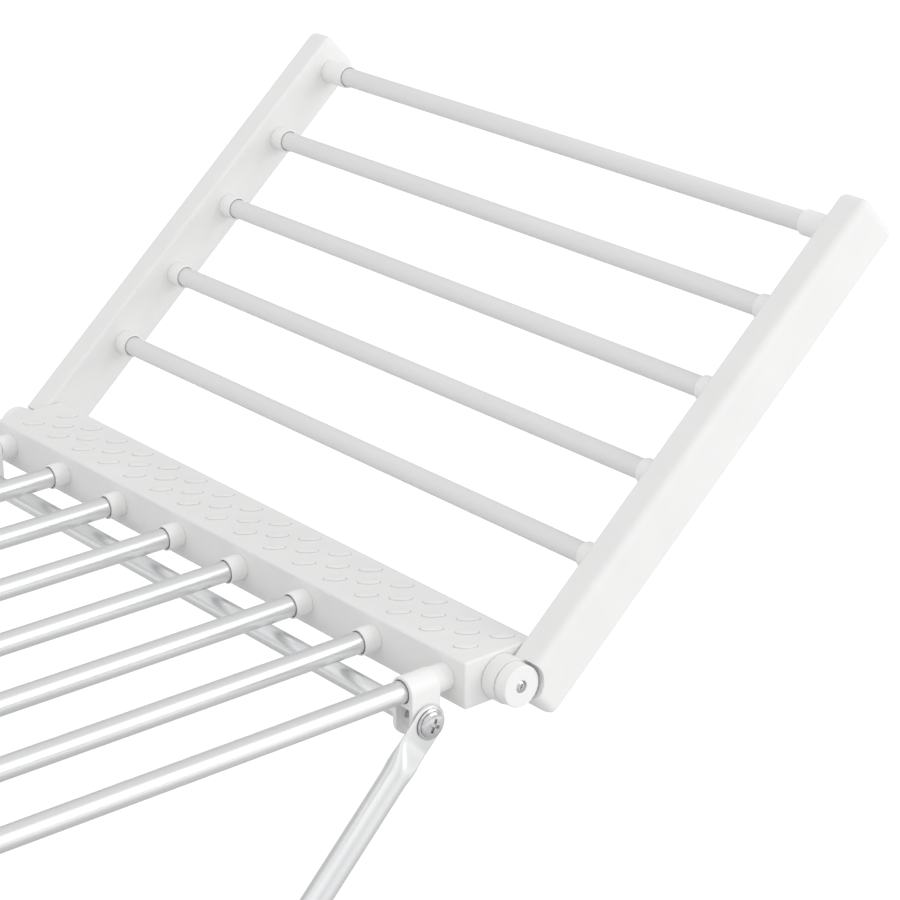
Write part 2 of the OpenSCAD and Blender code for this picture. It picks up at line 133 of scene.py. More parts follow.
def fillet(points, radius, closed=True, steps=ARC_STEPS):
    """Rounds the corners of a 2-D outline. radius is one number, or one for each point."""
    count = len(points)
    radii = radius if isinstance(radius, (list, tuple)) else [radius] * count
    rounded = []
    for i, (here, r) in enumerate(zip(points, radii)):
        p = Vector(here)
        if r <= 0 or (not closed and i in (0, count - 1)):
            rounded.append(p)
            continue
        back = Vector(points[i - 1]) - p
        ahead = Vector(points[(i + 1) % count]) - p
        half = back.angle(ahead) / 2
        reach = min(r / math.tan(half), back.length * HALF_EDGE, ahead.length * HALF_EDGE)
        true_r = reach * math.tan(half)
        centre = p + (back.normalized() + ahead.normalized()).normalized() * (true_r / math.sin(half))
        start = p + back.normalized() * reach - centre
        end = p + ahead.normalized() * reach - centre
        turn = start.angle_signed(end)
        for k in range(steps + 1):
            angle = -turn * k / steps
            c, s = math.cos(angle), math.sin(angle)
            rounded.append(centre + Vector((start.x * c - start.y * s, start.x * s + start.y * c)))
    return rounded


class Shape:
    """Vertices, faces and face-corner UVs (in metres) that grow piece by piece."""

    def __init__(self):
        self.verts, self.faces, self.uvs = [], [], []

    def add(self, verts, faces, uvs):
        base = len(self.verts)
        self.verts += [Vector(v) for v in verts]
        self.faces += [[base + i for i in f] for f in faces]
        self.uvs += uvs
        return self

    def grid(self, rings, wrap_along=False, caps=True):
        """Skins a list of closed rings of equal length."""
        n, m = len(rings[0]), len(rings)
        verts = [p for ring in rings for p in ring]
        around = [0.0]
        widest = max(rings, key=lambda ring: (ring[0] - ring[n // 2]).length)
        for j in range(n):
            around.append(around[-1] + (widest[(j + 1) % n] - widest[j]).length)
        along = [0.0]
        for i in range(m):
            along.append(along[-1] + (rings[(i + 1) % m][0] - rings[i][0]).length)
        faces, uvs = [], []
        for i in range(m if wrap_along else m - 1):
            for j in range(n):
                k, nxt = (j + 1) % n, (i + 1) % m
                faces.append([i * n + j, i * n + k, nxt * n + k, nxt * n + j])
                uvs.append([(around[j], along[i]), (around[j + 1], along[i]),
                            (around[j + 1], along[i + 1]), (around[j], along[i + 1])])
        if caps and not wrap_along:
            for ring_index, flip in ((0, True), (m - 1, False)):
                face = [ring_index * n + j for j in range(n)]
                face = face[::-1] if flip else face
                faces.append(face)
                uvs.append([(verts[i].x, verts[i].y) for i in face])
        return self.add(verts, faces, uvs)

    def lathe(self, profile, origin, axis, segments=AROUND, closed=True):
        """Turns a profile of (radius, distance along the axis) points about the axis."""
        axis = Vector(axis).normalized()
        side = axis.orthogonal().normalized()
        other = axis.cross(side)
        rings = []
        for r, d in profile:
            ring = []
            for j in range(segments):
                a = 2 * math.pi * j / segments
                ring.append(Vector(origin) + axis * d + (side * math.cos(a) + other * math.sin(a)) * r)
            rings.append(ring)
        return self.grid(rings, wrap_along=closed, caps=not closed)

    def build(self, name, smooth_angle=LATHE_CRISP):
        mesh = bpy.data.meshes.new(name)
        mesh.from_pydata(self.verts, [], self.faces)
        layer = mesh.uv_layers.new(name="surface")
        corner = 0
        for face_uvs in self.uvs:
            for uv in face_uvs:
                layer.data[corner].uv = uv
                corner += 1
        bm = bmesh.new()
        bm.from_mesh(mesh)
        bmesh.ops.recalc_face_normals(bm, faces=bm.faces)
        bm.to_mesh(mesh)
        bm.free()
        obj = new_object(name, mesh)
        smooth(obj, smooth_angle)
        return obj


def smooth(obj, angle):
    """Shades smooth, with edges sharper than the angle kept crisp."""
    mesh = obj.data
    mesh.shade_smooth()
    mesh.set_sharp_from_angle(angle=math.radians(angle))


def ring_outline(outer_r, inner_r, start, end, lip):
    """Closed lathe profile of a hollow cylinder with rounded lips."""
    corners = [(inner_r, start), (outer_r, start), (outer_r, end), (inner_r, end)]
    return [tuple(p) for p in fillet(corners, lip, steps=3)]


def apply_modifiers(obj):
    """Replaces the object's mesh with its evaluated one."""
    graph = bpy.context.evaluated_depsgraph_get()
    mesh = bpy.data.meshes.new_from_object(obj.evaluated_get(graph), depsgraph=graph)
    obj.modifiers.clear()
    obj.data = mesh
    return obj


FACE_WEIGHT = 100      # the most that a large face can count for


def even_shading(obj):
    """Large faces keep their own direction where they meet small roundings."""
    modifier = obj.modifiers.new("shading", "WEIGHTED_NORMAL")
    modifier.weight = FACE_WEIGHT
    modifier.keep_sharp = True
    return apply_modifiers(obj)


def combine(obj, tool, operation):
    """Exact boolean with a tool object, which is used up."""
    modifier = obj.modifiers.new(operation, "BOOLEAN")
    modifier.operation, modifier.solver, modifier.object = operation, "EXACT", tool
    apply_modifiers(obj)
    bpy.data.objects.remove(tool)
    return obj


def cylinder_tool(origin, axis, radius, length, segments=FINE):
    shape = Shape().lathe([(radius, 0), (radius, length)], origin, axis, segments, closed=False)
    return shape.build("tool")


def box_tool(lo, hi):
    lo, hi = Vector(lo), Vector(hi)
    rings = [[Vector((x, y, z)) for x, y in ((lo.x, lo.y), (hi.x, lo.y), (hi.x, hi.y), (lo.x, hi.y))]
             for z in (lo.z, hi.z)]
    return Shape().grid(rings).build("tool")


def round_edges(obj, width, segments=2, angle=40):
    """Rounds what is sharper than the angle, and applies it."""
    modifier = obj.modifiers.new("edges", "BEVEL")
    modifier.width, modifier.segments = width, segments
    modifier.limit_method, modifier.angle_limit = "ANGLE", math.radians(angle)
    apply_modifiers(obj)
    smooth(obj, CRISP)
    return obj


def mirror_matrix(flip_x, flip_y):
    return Matrix.Diagonal((-1 if flip_x else 1, -1 if flip_y else 1, 1, 1))


def wing_matrix(right, rear):
    """From the arm's own frame (along the arm, across, square to it) to the row frame."""
    turn = Matrix.Translation((HINGE.x, 0, HINGE.z)) @ Matrix.Rotation(-WING_ANGLE, 4, "Y")
    return mirror_matrix(not right, not rear) @ turn


def copy_of(obj, name, matrix):
    """A copy of a piece moved by a matrix, with its faces turned back out if mirrored."""
    mesh = obj.data.copy()
    mesh.transform(matrix)
    if matrix.determinant() < 0:
        mesh.flip_normals()
    return new_object(name, mesh)


def settle(obj, body, material, nodes):
    """Gives a finished piece its material and body, and hides the CAD nodes it stands for."""
    obj.data.materials.clear()
    obj.data.materials.append(material)
    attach(obj, body)
    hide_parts(*nodes)
    return obj


# ---------------------------------------------------------------- materials


def node_material(name):
    material = bpy.data.materials.new(name)
    material.use_nodes = True
    tree = material.node_tree
    return material, tree, tree.nodes["Principled BSDF"]


def add_noise(tree, coordinates, scale, detail, stretch=(1, 1, 1)):
    mapping = tree.nodes.new("ShaderNodeMapping")
    mapping.inputs["Scale"].default_value = stretch
    tree.links.new(coordinates, mapping.inputs["Vector"])
    noise = tree.nodes.new("ShaderNodeTexNoise")
    noise.inputs["Scale"].default_value = scale
    noise.inputs["Detail"].default_value = detail
    tree.links.new(mapping.outputs["Vector"], noise.inputs["Vector"])
    return noise.outputs["Fac"]


NOISE_LOW, NOISE_HIGH = 0.3, 0.7        # the part of a noise's span that tone and gloss follow


def add_range(tree, value, low, high, from_low=NOISE_LOW, from_high=NOISE_HIGH, curve="LINEAR"):
    node = tree.nodes.new("ShaderNodeMapRange")
    node.interpolation_type = curve
    node.inputs["From Min"].default_value = from_low
    node.inputs["From Max"].default_value = from_high
    node.inputs["To Min"].default_value = low
    node.inputs["To Max"].default_value = high
    tree.links.new(value, node.inputs["Value"])
    return node.outputs["Result"]


def add_bump(tree, shader, height, strength, distance, below=None):
    bump = tree.nodes.new("ShaderNodeBump")
    bump.inputs["Strength"].default_value = strength
    bump.inputs["Distance"].default_value = distance
    tree.links.new(height, bump.inputs["Height"])
    if below is not None:
        tree.links.new(below, bump.inputs["Normal"])
    tree.links.new(bump.outputs["Normal"], shader.inputs["Normal"])
    return bump.outputs["Normal"]


def tint(tree, shader, value, dark, light):
    ramp = tree.nodes.new("ShaderNodeValToRGB")
    ramp.color_ramp.elements[0].position = NOISE_LOW
    ramp.color_ramp.elements[1].position = NOISE_HIGH
    ramp.color_ramp.elements[0].color = (*dark, 1)
    ramp.color_ramp.elements[1].color = (*light, 1)
    tree.links.new(value, ramp.inputs["Fac"])
    tree.links.new(ramp.outputs["Color"], shader.inputs["Base Color"])


PLASTIC_SPECULAR = 0.42


def moulded_plastic(name, dark, light, rough, grain):
    """Moulded plastic: a fine spark-eroded grain, faint flow clouds and slightly uneven gloss."""
    material, tree, shader = node_material(name)
    place = tree.nodes.new("ShaderNodeTexCoord").outputs["Object"]
    clouds = add_noise(tree, place, scale=28, detail=3)
    gloss = add_noise(tree, place, scale=300, detail=4)
    ripples = add_noise(tree, place, scale=420, detail=2)
    grains = add_noise(tree, place, scale=2600, detail=2)
    tint(tree, shader, clouds, dark, light)
    tree.links.new(add_range(tree, gloss, *rough), shader.inputs["Roughness"])
    rippled = add_bump(tree, shader, ripples, strength=0.12, distance=0.15 * MM)
    add_bump(tree, shader, grains, strength=grain, distance=0.05 * MM, below=rippled)
    shader.inputs["Specular IOR Level"].default_value = PLASTIC_SPECULAR
    return material


def drawn_tube(name, dark, light, rough, metallic, line_strength):
    """Tube: long drawing lines along it, with fine variation of tone and gloss."""
    material, tree, shader = node_material(name)
    surface = tree.nodes.new("ShaderNodeUVMap").outputs["UV"]
    lines = add_noise(tree, surface, scale=1800, detail=3, stretch=(1, 0.012, 1))
    streaks = add_noise(tree, surface, scale=60, detail=2, stretch=(1, 0.12, 1))
    tint(tree, shader, streaks, dark, light)
    tree.links.new(add_range(tree, lines, *rough), shader.inputs["Roughness"])
    add_bump(tree, shader, lines, strength=line_strength, distance=0.02 * MM)
    shader.inputs["Metallic"].default_value = metallic
    return material


def plated_metal(name, dark, light, rough):
    """Steel of the screws and springs: fine tumbling marks."""
    material, tree, shader = node_material(name)
    place = tree.nodes.new("ShaderNodeTexCoord").outputs["Object"]
    patches = add_noise(tree, place, scale=500, detail=3)
    gloss = add_noise(tree, place, scale=900, detail=3)
    marks = add_noise(tree, place, scale=1500, detail=2)
    tint(tree, shader, patches, dark, light)
    tree.links.new(add_range(tree, gloss, *rough), shader.inputs["Roughness"])
    add_bump(tree, shader, marks, strength=0.1, distance=0.03 * MM)
    shader.inputs["Metallic"].default_value = 1.0
    return material


# Each has a dark and a pale tone, and a least and a most roughness. Then a moulding has the
# strength of its grain, and a tube has how metallic it is and the strength of its lines.
WHITE = moulded_plastic("white_plastic", (0.805, 0.805, 0.80), (0.83, 0.83, 0.825), (0.52, 0.58), 0.25)
COLLAR = moulded_plastic("collar_plastic", (0.84, 0.84, 0.835), (0.86, 0.86, 0.855), (0.46, 0.52), 0.15)
FOOT = moulded_plastic("foot_plastic", (0.74, 0.74, 0.735), (0.80, 0.80, 0.795), (0.48, 0.60), 0.30)
NYLON = moulded_plastic("nylon", (0.74, 0.73, 0.69), (0.80, 0.79, 0.75), (0.35, 0.45), 0.10)
BRIGHT = drawn_tube("bright_tube", (0.80, 0.805, 0.81), (0.84, 0.845, 0.85), (0.29, 0.33), 1.0, 0.02)
LEG = drawn_tube("leg_tube", (0.79, 0.795, 0.80), (0.83, 0.835, 0.84), (0.29, 0.34), 1.0, 0.03)
SATIN = drawn_tube("satin_tube", (0.74, 0.74, 0.74), (0.77, 0.77, 0.77), (0.42, 0.48), 0.0, 0.04)
PLATED = plated_metal("plated_screw", (0.56, 0.56, 0.57), (0.68, 0.68, 0.69), (0.10, 0.20))
SPRING = plated_metal("spring_steel", (0.42, 0.42, 0.43), (0.55, 0.55, 0.56), (0.30, 0.45))

# ---------------------------------------------------------------- tubes

TUBE_WALL = 1.0 * MM
TUBE_LIP = 0.25 * MM


def tube_between(name, node, radius, axis, body, material):
    """Smooth hollow tube in place of a straight CAD tube that lies along row axis X or Y."""
    index = "XY".index(axis)
    lo, hi = corners_of(node)
    start = middle(node)
    start[index] = lo[index]
    direction = Vector((0, 0, 0))
    direction[index] = 1
    profile = ring_outline(radius, radius - TUBE_WALL, 0, hi[index] - lo[index], TUBE_LIP)
    obj = Shape().lathe(profile, start, direction).build(name)
    return settle(obj, body, material, [node])


def make_tubes():
    for index, rail in enumerate(RAILS, 1):
        tube_between(f"rail_tube_{index}", rail, RAIL_R, "X", "deck", BRIGHT)
    for side in ("right", "left"):
        for i in range(1, ROD_COUNT + 1):
            tube_between(f"rod_tube_{side}_{i}", f"wing_rod_{side}_{i}", ROD_R, "Y",
                         f"wing_{side}", SATIN)
    axle_r = extent("pivot_axle_tube").z / 2
    tube_between("axle_tube", "pivot_axle_tube", axle_r, "Y", "deck", BRIGHT)
    for frame_name in ("outer", "inner"):
        node = f"{frame_name}_foot_bar"
        tube_between(f"foot_bar_{frame_name}", node, extent(node).z / 2, "Y",
                     f"{frame_name}_legs", LEG)
    top_r = extent("inner_top_bar").z / 2
    tube_between("top_bar_tube", "inner_top_bar", top_r, "Y", "inner_legs", LEG)


# ---------------------------------------------------------------- collars

COLLAR_R = 8.1 * MM
COLLAR_LIP = 0.35 * MM
RAIL_COLLAR_GAP = 0.35 * MM             # between a collar's bore and its rail or rod
ROD_COLLAR_GAP = 0.3 * MM
RUNNING_GAP = 0.05 * MM
WING_COLLAR_LEN = 11 * MM
LAST_COLLAR_LEN = 21.5 * MM             # the collars of the rod at the wing's tip
FRONT_COLLAR_EXTRA = 7 * MM


def make_rail_collars():
    length = extent("rail_ferrules_right").x
    for side, sign in (("right", 1), ("left", -1)):
        shape = Shape()
        for y in RAIL_YS:
            profile = ring_outline(COLLAR_R, RAIL_R + RAIL_COLLAR_GAP, 0, length, COLLAR_LIP)
            start = Vector((sign * BEAM_LO.x, y, RAIL_Z))
            shape.lathe(profile, start, (-sign, 0, 0))
        settle(even_shading(shape.build(f"rail_collars_{side}")), "deck", COLLAR,
               [f"rail_ferrules_{side}"])


def make_wing_collars():
    for side in ("right", "left"):
        shape = Shape()
        for rear in (True, False):
            to_row = wing_matrix(side == "right", rear)
            for i, q in enumerate(ROD_Q):
                length = LAST_COLLAR_LEN if i == ROD_COUNT - 1 else WING_COLLAR_LEN
                length += 0 if rear else FRONT_COLLAR_EXTRA
                profile = ring_outline(COLLAR_R, ROD_R + ROD_COLLAR_GAP, 0, length, COLLAR_LIP)
                local = Shape().lathe(profile, (q, ARM_Y0, ROD_N), (0, -1, 0))
                shape.add([to_row @ v for v in local.verts], local.faces, local.uvs)
        settle(even_shading(shape.build(f"rod_collars_{side}")), f"wing_{side}", COLLAR,
               [f"wing_ferrules_{side}"])


# ---------------------------------------------------------------- end beams

SPIGOT_R = 6.0 * MM
SPIGOT_LIP = 0.3 * MM
HINGE_THREAD_R = 1.95 * MM
BEAM_ROUND = 1.5 * MM
END_SHRINK = 0.6              # how fast the long edges' rounding shrinks towards a block's ends
LEAST_ROUND = 0.3             # and the share of it that stays

# Rows of raised ovals: how far each lies across from the beam's middle, and how far its first
# oval is from the beam's front end.
TREAD_ROWS = ((-10.8 * MM, 17.2 * MM), (1.6 * MM, 30.8 * MM), (13.6 * MM, 13.9 * MM))
TREAD_PITCH = 30.6 * MM
TREAD_BORDER = 12 * MM                  # least distance from an oval's middle to the rear end
TREAD_HALF_LEN = 6.7 * MM
TREAD_HALF_W = 3.1 * MM
TREAD_HEIGHT = 0.9 * MM
TREAD_TURN = math.radians(-39)
TREAD_MOAT = 0.6 * MM                   # width of the groove round an oval
TREAD_SINK = 0.5 * MM                   # and its depth
OVAL_SEGMENTS = 28
# An oval from foot to crown, as shares of its half size and of its height
TREAD_PROFILE = ((1.0, -0.7), (1.0, 0.45), (0.93, 0.72), (0.80, 0.86), (0.45, 0.97), (0.12, 1.0))


def rounded_block(lo, hi, radius, end_steps=4):
    """Box with rounded long edges and softened ends, its length along Y."""
    corners = [(lo.x, lo.z), (hi.x, lo.z), (hi.x, hi.z), (lo.x, hi.z)]
    rings = []
    turns = [math.pi / 2 * k / end_steps for k in range(end_steps + 1)]
    first = [(lo.y + radius * (1 - math.cos(a)), radius * (1 - math.sin(a))) for a in turns]
    last = [(lo.y + hi.y - y, inset) for y, inset in reversed(first)]
    for y, inset in first + last:
        shrunk = [(x + inset if x == lo.x else x - inset, z + inset if z == lo.z else z - inset)
                  for x, z in corners]
        ring = fillet(shrunk, max(radius - inset * END_SHRINK, radius * LEAST_ROUND), steps=4)
        rings.append([Vector((p.x, y, p.y)) for p in ring])
    return Shape().grid(rings)


def tread_places():
    """Middle of every oval of the right beam: X and Y."""
    for across, start in TREAD_ROWS:
        count = int((2 * BEAM_END - start - TREAD_BORDER) / TREAD_PITCH) + 1
        for k in range(count):
            yield HINGE.x + across, k * TREAD_PITCH + start - BEAM_END


def oval_ring(x, y, z, half_len, half_w, sign):
    ring = []
    for j in range(OVAL_SEGMENTS):
        a = 2 * math.pi * j / OVAL_SEGMENTS
        u, v = half_len * math.cos(a), half_w * math.sin(a)
        along = u * math.cos(TREAD_TURN) - v * math.sin(TREAD_TURN)
        across = u * math.sin(TREAD_TURN) + v * math.cos(TREAD_TURN)
        ring.append(Vector((sign * (x + along), y + across, z)))
    return ring


def tread_moats():
    """Tool that sinks a narrow moat round every oval of the right beam."""
    shape = Shape()
    for x, y in tread_places():
        size = (TREAD_HALF_LEN + TREAD_MOAT, TREAD_HALF_W + TREAD_MOAT)
        shape.grid([oval_ring(x, y, BEAM_TOP + z, *size, 1) for z in (OVERLAP, -TREAD_SINK)])
    return shape.build("tread_moats")


def add_tread(shape, right):
    """Raised ovals, each a closed lens standing in its moat."""
    sign = 1 if right else -1
    for x, y in tread_places():
        rings = []
        for out, rise in TREAD_PROFILE:
            size = (TREAD_HALF_LEN * out, TREAD_HALF_W * out)
            rings.append(oval_ring(x, y, BEAM_TOP + rise * TREAD_HEIGHT, *size, sign))
        shape.grid(rings)


def make_beams():
    for side, right in (("right", True), ("left", False)):
        lo = Vector((BEAM_LO.x, -BEAM_END, BEAM_LO.z))
        hi = Vector((BEAM_HI.x, BEAM_END, BEAM_HI.z))
        beam = rounded_block(lo, hi, BEAM_ROUND).build("beam")
        hollow = box_tool((lo.x + WALL, lo.y + WALL, lo.z - OVERLAP),
                          (hi.x - WALL, hi.y - WALL, hi.z - WALL))
        combine(beam, hollow, "DIFFERENCE")
        combine(beam, tread_moats(), "DIFFERENCE")
        beam.data.transform(mirror_matrix(not right, False))
        if not right:
            beam.data.flip_normals()
        extras = Shape()
        x = HINGE.x if right else -HINGE.x
        spigot_bore = HINGE_THREAD_R + RUNNING_GAP
        spigot = ring_outline(SPIGOT_R, spigot_bore, -OVERLAP, SPIGOT_LEN, SPIGOT_LIP)
        for sign in (1, -1):
            extras.lathe(spigot, (x, sign * BEAM_END, HINGE.z), (0, sign, 0))
        add_tread(extras, right)
        extra = extras.build(f"beam_extras_{side}")
        joined = join([beam, extra], f"beam_moulding_{side}")
        smooth(joined, CRISP)
        even_shading(joined)
        settle(joined, "deck", WHITE, [f"end_beam_{side}"])


def join(objects, name):
    """One object from several; UVs keep the layer called surface."""
    bm = bmesh.new()
    for obj in objects:
        bm.from_mesh(obj.data)
    mesh = bpy.data.meshes.new(name)
    bm.to_mesh(mesh)
    bm.free()
    for obj in objects:
        bpy.data.objects.remove(obj)
    return new_object(name, mesh)


# ---------------------------------------------------------------- wing arms

ARM_LOW_ROUND = 1.8 * MM      # long edges underneath
ARM_INNER_ROUND = 2.4 * MM    # top edge towards the rods
ARM_ROUND = 5.0 * MM          # top edge on the outside
ARM_END_ROUND = 6 * MM
LEAST_ARM_ROUND = 0.3 * MM
ARM_TOP = 1.7 * MM            # top face, above the hinge line
ARM_DEPTH = 34.1 * MM
ARM_START = -1.0 * MM
ARM_EDGE = 0.6 * MM
POCKET_START = 24 * MM        # pocket underneath that takes the cover
POCKET_WALL = 2.4 * MM
POCKET_DEPTH = 6 * MM
ROD_SOCKET = 7.9 * MM         # depth of a rod's hole
SCALLOP_R = 14.6 * MM
HUB_R = 13.7 * MM
HUB_SEGMENTS = 96
BODY_GAP = 0.3 * MM
HUB_Y0 = BEAM_END + BODY_GAP
HUB_Y1 = BEAM_HI.y - BODY_GAP
CUT_REACH = 40 * MM           # length of a cut that runs out of the arm


def arm_length():
    """Reach of the arm beyond the hinge, from the far side of its box."""
    reach = ARM_HI.x - HINGE.x
    return (reach - (ARM_DEPTH - ARM_TOP) * math.sin(WING_ANGLE)) / math.cos(WING_ANGLE)


def arm_body(length):
    """Soft-edged bar in the arm's own frame: X along, Y across, Z square to the arm."""
    y0, y1, z0, z1 = ARM_Y0, ARM_Y1, ARM_TOP - ARM_DEPTH, ARM_TOP
    steps = 6
    ends = []
    for k in range(steps + 1):
        a = math.pi / 2 * k / steps
        ends.append((ARM_END_ROUND * (1 - math.sin(a)), ARM_END_ROUND * (1 - math.cos(a))))
    ends.sort()
    stations = [(ARM_START + q, inset) for q, inset in ends]
    stations += [(length - q, inset) for q, inset in reversed(ends)]
    rings = []
    for q, inset in stations:
        corners = [(y0 + inset, z0 + inset), (y1 - inset, z0 + inset),
                   (y1 - inset, z1 - inset), (y0 + inset, z1 - inset)]
        rounds = (ARM_LOW_ROUND, ARM_LOW_ROUND, ARM_ROUND, ARM_INNER_ROUND)
        radii = [max(r - inset, LEAST_ARM_ROUND) for r in rounds]
        ring = fillet(corners, radii, steps=8)
        rings.append([Vector((q, p.x, p.y)) for p in ring])
    return Shape().grid(rings).build("arm")


def arm_moulding():
    """One arm with its hub, spigot bore, cover pocket and rod holes, in the arm's own frame."""
    length = arm_length()
    arm = arm_body(length)
    across = (0, 1, 0)
    scallop = cylinder_tool((0, HUB_Y1, 0), across, SCALLOP_R, CUT_REACH, HUB_SEGMENTS)
    combine(arm, scallop, "DIFFERENCE")
    hub = cylinder_tool((0, HUB_Y0, 0), across, HUB_R, HUB_Y1 - HUB_Y0, HUB_SEGMENTS)
    combine(arm, hub, "UNION")
    bore = cylinder_tool((0, HUB_Y0 - OVERLAP, 0), across, SPIGOT_R + RUNNING_GAP, CUT_REACH)
    combine(arm, bore, "DIFFERENCE")
    arm_bottom = ARM_TOP - ARM_DEPTH
    pocket = box_tool((POCKET_START, ARM_Y0 + POCKET_WALL, arm_bottom - OVERLAP),
                      (length - POCKET_WALL, ARM_Y1 - POCKET_WALL, arm_bottom + POCKET_DEPTH))
    combine(arm, pocket, "DIFFERENCE")
    for q in ROD_Q:
        start = (q, ARM_Y0 - OVERLAP, ROD_N)
        hole = cylinder_tool(start, across, ROD_R + RUNNING_GAP, ROD_SOCKET + OVERLAP)
        combine(arm, hole, "DIFFERENCE")
    return round_edges(arm, ARM_EDGE)


def make_arms():
    arm = arm_moulding()
    for side in ("right", "left"):
        for end in ("front", "rear"):
            twin = copy_of(arm, f"arm_moulding_{side}_{end}", wing_matrix(side == "right", end == "rear"))
            even_shading(twin)
            settle(twin, f"wing_{side}", WHITE, [f"wing_arm_{side}_{end}"])
    bpy.data.objects.remove(arm)


# ---------------------------------------------------------------- hinge caps and screws

CAP_R = 12.6 * MM
CAP_T = CAP_HI_Y - BEAM_HI.y
CAP_BACK_LIP = 0.4 * MM
CAP_FRONT_LIP = 0.8 * MM
COUNTERBORE_R = 3.8 * MM
COUNTERBORE_H = 1.9 * MM
COUNTERBORE_LIP = 0.4 * MM
COUNTERBORE_FLOOR_LIP = 0.1 * MM
HINGE_HEAD_R = 3.4 * MM
HINGE_HEAD_H = 1.6 * MM
HINGE_HEAD_TOP_R = HINGE_HEAD_R * 0.6
HINGE_HEAD_RIM = HINGE_HEAD_H * 0.55    # height at which the head starts to narrow
HINGE_HEAD_ROUND = 0.4 * MM
HINGE_SHANK_LEN = 20 * MM
CORE_R = 0.02 * MM                      # where a screw's outline meets its axis

CROSS_TURN = 0.35                       # turn of a cross recess about its screw, in radians
CROSS_WIDTH = 0.23                      # width of a recess as a share of its length
CROSS_CLEAR = 0.6 * MM                  # how far its cut starts above the head
# A cross recess: half its length, its depth, and its floor's size as a share of its mouth's
HINGE_RECESS = (1.9 * MM, 1.1 * MM, 0.55)
PIVOT_RECESS = (4.6 * MM, 1.9 * MM, 0.8)
CROSSING_RECESS = (3.0 * MM, 1.6 * MM, 0.55)
TOP_BAR_RECESS = (2.8 * MM, 1.3 * MM, 0.55)


def cross_cut(head, origin, axis, size, depth, taper):
    """Cuts a tapered cross recess into a screw head."""
    axis = Vector(axis).normalized()
    side = axis.orthogonal().normalized()
    for turn in (0, math.pi / 2):
        along = Matrix.Rotation(turn + CROSS_TURN, 3, axis) @ side
        across = axis.cross(along)
        rings = []
        for level, spread in ((CROSS_CLEAR, 1.0), (-depth, taper)):
            half_len, half_w = size * spread, size * CROSS_WIDTH * spread
            rings.append([Vector(origin) + axis * level + along * a * half_len + across * b * half_w
                          for a, b in ((-1, -1), (1, -1), (1, 1), (-1, 1))])
        combine(head, Shape().grid(rings).build("tool"), "DIFFERENCE")
    return head


def turned_screw(profile, x, seat, z, sign, head_h, recess, segments=FINE):
    """Screw with its axis along Y and its head standing out of the seat, at the front or the rear."""
    axis = (0, sign, 0)
    screw = Shape().lathe(profile, (x, sign * seat, z), axis, segments, closed=False).build("screw")
    return cross_cut(screw, (x, sign * (seat + head_h), z), axis, *recess)


def make_hinge_caps():
    bore = HINGE_THREAD_R + RUNNING_GAP
    seat = CAP_T - COUNTERBORE_H
    outline = [(bore, 0), (CAP_R, 0), (CAP_R, CAP_T), (COUNTERBORE_R, CAP_T),
               (COUNTERBORE_R, seat), (bore, seat)]
    radii = [0, CAP_BACK_LIP, CAP_FRONT_LIP, COUNTERBORE_LIP, COUNTERBORE_FLOOR_LIP, 0]
    profile = [tuple(p) for p in fillet(outline, radii, steps=4)]
    for side, x in (("right", HINGE.x), ("left", -HINGE.x)):
        shape = Shape()
        for sign in (1, -1):
            shape.lathe(profile, (x, sign * BEAM_HI.y, HINGE.z), (0, sign, 0), FINE)
        settle(even_shading(shape.build(f"hinge_cap_discs_{side}")), "deck", COLLAR,
               [f"hinge_caps_{side}"])


def make_hinge_screws():
    corners = [(CORE_R, -HINGE_SHANK_LEN), (HINGE_THREAD_R, -HINGE_SHANK_LEN), (HINGE_THREAD_R, 0),
               (HINGE_HEAD_R, 0), (HINGE_HEAD_R, HINGE_HEAD_RIM), (HINGE_HEAD_TOP_R, HINGE_HEAD_H),
               (CORE_R, HINGE_HEAD_H)]
    profile = [tuple(p) for p in fillet(corners, HINGE_HEAD_ROUND, closed=False)]
    seat = CAP_HI_Y - COUNTERBORE_H
    parts = [turned_screw(profile, x, seat, HINGE.z, sign, HINGE_HEAD_H, HINGE_RECESS, AROUND)
             for x in (HINGE.x, -HINGE.x) for sign in (1, -1)]
    screws = join(parts, "hinge_screw_set")
    smooth(screws, CRISP)
    settle(screws, "deck", PLATED, ["hinge_screws"])


# ---------------------------------------------------------------- leg clips, catches and corner feet

RELAX_FACTOR = 0.5
# Voxel size, and how many times the surface is relaxed
CLIP_SOFTNESS = (0.3 * MM, 2)
CATCH_SOFTNESS = (0.5 * MM, 4)
FOOT_SOFTNESS = (0.8 * MM, 5)


def soft_moulding(name, node, body, voxel, passes, material, slot):
    """A small moulding: the CAD solid remeshed finely and relaxed, so every edge is softly rounded."""
    obj = new_object(name, frame["nodes"][node].data.copy())
    remesh = obj.modifiers.new("remesh", "REMESH")
    remesh.mode, remesh.voxel_size, remesh.adaptivity = "VOXEL", voxel, 0
    relax = obj.modifiers.new("relax", "SMOOTH")
    relax.factor, relax.iterations = RELAX_FACTOR, passes
    apply_modifiers(obj)
    obj.data.shade_smooth()
    return settle(obj, body, material, [node])


def make_mouldings():
    for end in ("front", "rear"):
        soft_moulding(f"clip_moulding_{end}", f"leg_clip_{end}", "deck", *CLIP_SOFTNESS,
                      COLLAR, "collar_plastic")
        soft_moulding(f"catch_moulding_{end}", f"leg_catch_{end}", "deck", *CATCH_SOFTNESS,
                      COLLAR, "collar_plastic")
    for name in ("outer", "inner"):
        soft_moulding(f"foot_mouldings_{name}", f"{name}_corner_feet", f"{name}_legs", *FOOT_SOFTNESS,
                      FOOT, "foot_plastic")


# ---------------------------------------------------------------- legs

